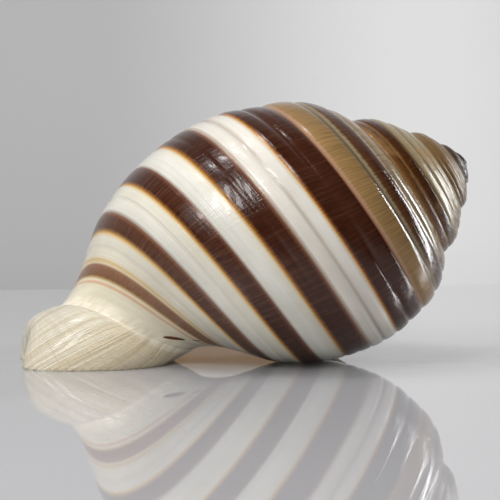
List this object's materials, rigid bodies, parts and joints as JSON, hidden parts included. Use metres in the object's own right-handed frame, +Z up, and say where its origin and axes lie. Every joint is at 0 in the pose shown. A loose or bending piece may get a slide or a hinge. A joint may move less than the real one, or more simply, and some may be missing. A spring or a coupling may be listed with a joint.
{
  "type": "tun shell",
  "caption": "Large thin-walled dextral sea snail shell with a globose body whorl, low spire, spiral ribs, brown and cream bands and a wide aperture, lying on its aperture.",
  "frame": {"origin": "centre of the bounding box, at the level of the surface that the rim of the aperture rests on", "axes": "+Z up; +X towards the apex, along the shell's axis seen from above; the picture's side faces -Y"},
  "size_m": [0.0937, 0.0652, 0.0532],
  "materials": {
    "banded_shell": null
  },
  "bodies": {
    "root": {"shell": "banded_shell"}
  },
  "joints": []
}
